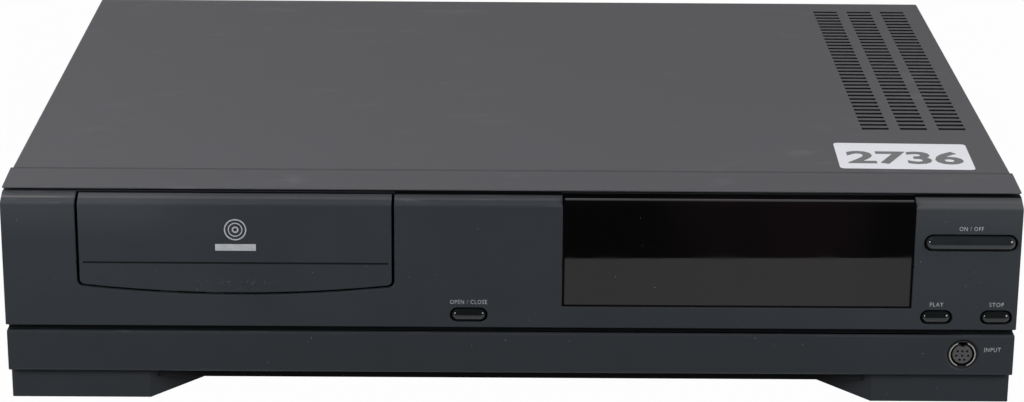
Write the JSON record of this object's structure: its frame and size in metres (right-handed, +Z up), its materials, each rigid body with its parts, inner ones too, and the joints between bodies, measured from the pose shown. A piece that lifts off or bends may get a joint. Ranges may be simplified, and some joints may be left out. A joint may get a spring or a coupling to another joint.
{
  "type": "interactive cd player",
  "caption": "Low wide disc player with a motor tray, smoked display window, push keys, round controller socket, slotted steel cover and moulded feet.",
  "frame": {"origin": "centre of the bounding box in plan, on the floor under the feet", "axes": "+Z up, the front faces -Y, +X to the right as seen from the front"},
  "size_m": [0.4232, 0.3272, 0.0922],
  "materials": {
    "cover_paint": "fine satin texture",
    "pan_steel": "dark satin",
    "screw_steel": "dark zinc",
    "front_plastic": "fine spark-eroded texture",
    "trim_plastic": "satin",
    "window_smoke": "polished smoked acrylic",
    "key_plastic": "semi-gloss",
    "black_plastic": "moulded",
    "display_glass": "clear over dark",
    "board_green": "solder resist",
    "board_tan": "paper laminate",
    "rubber_black": "matte",
    "socket_grey": "moulded",
    "bright_metal": "nickel plate",
    "core_steel": "varnished laminations",
    "coil_copper": "taped copper winding",
    "link_white": "natural",
    "tray_plastic": "fine texture",
    "gear_white": "natural acetal",
    "motor_steel": "zinc plate",
    "brass_parts": "turned",
    "chassis_metal": "die cast",
    "lens_glass": "coated lens"
  },
  "bodies": {
    "case": {"base_pan": "pan_steel", "rear_panel": "cover_paint", "top_cover": "cover_paint", "cover_screws": "screw_steel", "front_panel": "front_plastic", "lower_trim": "front_plastic", "top_trim": "trim_plastic", "display_window": "window_smoke", "display_holder": "black_plastic", "display_tube": "display_glass", "control_board": "board_green", "key_switches": "black_plastic", "mains_switch": "black_plastic", "front_feet": "front_plastic", "rear_feet": "black_plastic", "foot_pads": "rubber_black", "input_socket": "black_plastic", "input_ring": "bright_metal", "input_board": "board_green", "main_board": "board_green", "board_chips": "black_plastic", "power_board": "board_tan", "transformer_core": "core_steel", "transformer_coil": "coil_copper", "mains_inlet": "black_plastic", "inlet_pins": "bright_metal", "phono_housing": "black_plastic", "phono_barrels": "bright_metal", "multiway_socket": "black_plastic", "video_socket": "black_plastic", "socket_cores": "socket_grey", "cartridge_cover": "pan_steel", "loader_frame": "tray_plastic", "drive_belt": "rubber_black", "loading_motor": "motor_steel", "clamp_bridge": "motor_steel"},
    "tray": {"disc_tray": "tray_plastic", "tray_rack": "tray_plastic", "tray_front": "front_plastic"},
    "loading_wheel": {"tray_gear": "gear_white"},
    "loading_pulley": {"pulley_gear": "gear_white"},
    "loading_rotor": {"motor_pulley": "brass_parts"},
    "drive": {"drive_chassis": "chassis_metal", "damper_bushes": "rubber_black", "spindle_motor": "motor_steel", "guide_rods": "bright_metal", "sled_motor": "motor_steel"},
    "cam": {"lift_cam": "link_white"},
    "spindle": {"turntable": "black_plastic"},
    "clamp": {"clamper": "link_white"},
    "pickup": {"pickup_sled": "black_plastic", "pickup_lens": "lens_glass"},
    "pickup_wheel": {"sled_gear": "gear_white"},
    "pickup_rotor": {"sled_pinion": "brass_parts"},
    "power_key": {"power_button": "key_plastic", "power_link": "link_white", "switch_plunger": "link_white"},
    "play_key": {"play_button": "key_plastic"},
    "stop_key": {"stop_button": "key_plastic"},
    "open_key": {"open_button": "key_plastic"}
  },
  "joints": [
    {"name": "tray_slide", "type": "slide", "parent": "case", "child": "tray", "axis": [0, -1, 0], "range_m": [0, 0.13]},
    {"name": "loading_wheel_turn", "type": "hinge", "parent": "case", "child": "loading_wheel", "pos_m": [-0.1452, -0.1334, 0.0488], "axis": [0, 0, 1], "range_deg": [-2, 1066.06]},
    {"name": "loading_pulley_turn", "type": "hinge", "parent": "case", "child": "loading_pulley", "pos_m": [-0.1259, -0.1334, 0.0438], "axis": [0, 0, 1], "range_deg": [-3194.19, 2]},
    {"name": "loading_rotor_turn", "type": "hinge", "parent": "case", "child": "loading_rotor", "pos_m": [-0.0882, -0.1334, 0.0438], "axis": [0, 0, 1], "range_deg": [-7982.48, 2]},
    {"name": "drive_lift", "type": "slide", "parent": "case", "child": "drive", "axis": [0, 0, 1], "range_m": [0, 0.008]},
    {"name": "cam_slide", "type": "slide", "parent": "case", "child": "cam", "axis": [1, 0, 0], "range_m": [0, 0.016]},
    {"name": "spindle_spin", "type": "hinge", "parent": "drive", "child": "spindle", "pos_m": [-0.1143, -0.0834, 0.0552], "axis": [0, 0, 1], "continuous": true},
    {"name": "clamp_spin", "type": "hinge", "parent": "case", "child": "clamp", "pos_m": [-0.1143, -0.0834, 0.0687], "axis": [0, 0, 1], "continuous": true},
    {"name": "pickup_slide", "type": "slide", "parent": "drive", "child": "pickup", "axis": [0, 1, 0], "range_m": [0, 0.034]},
    {"name": "pickup_wheel_turn", "type": "hinge", "parent": "drive", "child": "pickup_wheel", "pos_m": [-0.08625, -0.0304, 0.0442], "axis": [0, 0, 1], "range_deg": [-489.01, 2]},
    {"name": "pickup_rotor_turn", "type": "hinge", "parent": "drive", "child": "pickup_rotor", "pos_m": [-0.08625, -0.04245, 0.0442], "axis": [0, 0, 1], "range_deg": [-2, 1463.04]},
    {"name": "power_press", "type": "slide", "parent": "case", "child": "power_key", "axis": [0, 1, 0], "range_m": [0, 0.004], "stiffness_N_per_m": 500},
    {"name": "play_press", "type": "slide", "parent": "case", "child": "play_key", "axis": [0, 1, 0], "range_m": [0, 0.0006], "stiffness_N_per_m": 800},
    {"name": "stop_press", "type": "slide", "parent": "case", "child": "stop_key", "axis": [0, 1, 0], "range_m": [0, 0.0006], "stiffness_N_per_m": 800},
    {"name": "open_press", "type": "slide", "parent": "case", "child": "open_key", "axis": [0, 1, 0], "range_m": [0, 0.0006], "stiffness_N_per_m": 800}
  ],
  "couplings": [
    {"joint": "loading_wheel_turn", "follows": "tray_slide", "rad_per_m": 142.86},
    {"joint": "loading_pulley_turn", "follows": "tray_slide", "rad_per_m": -428.57},
    {"joint": "loading_rotor_turn", "follows": "tray_slide", "rad_per_m": -1071.4},
    {"joint": "cam_slide", "follows": "drive_lift", "ratio": 2},
    {"joint": "pickup_wheel_turn", "follows": "pickup_slide", "rad_per_m": -250},
    {"joint": "pickup_rotor_turn", "follows": "pickup_slide", "rad_per_m": 750}
  ]
}
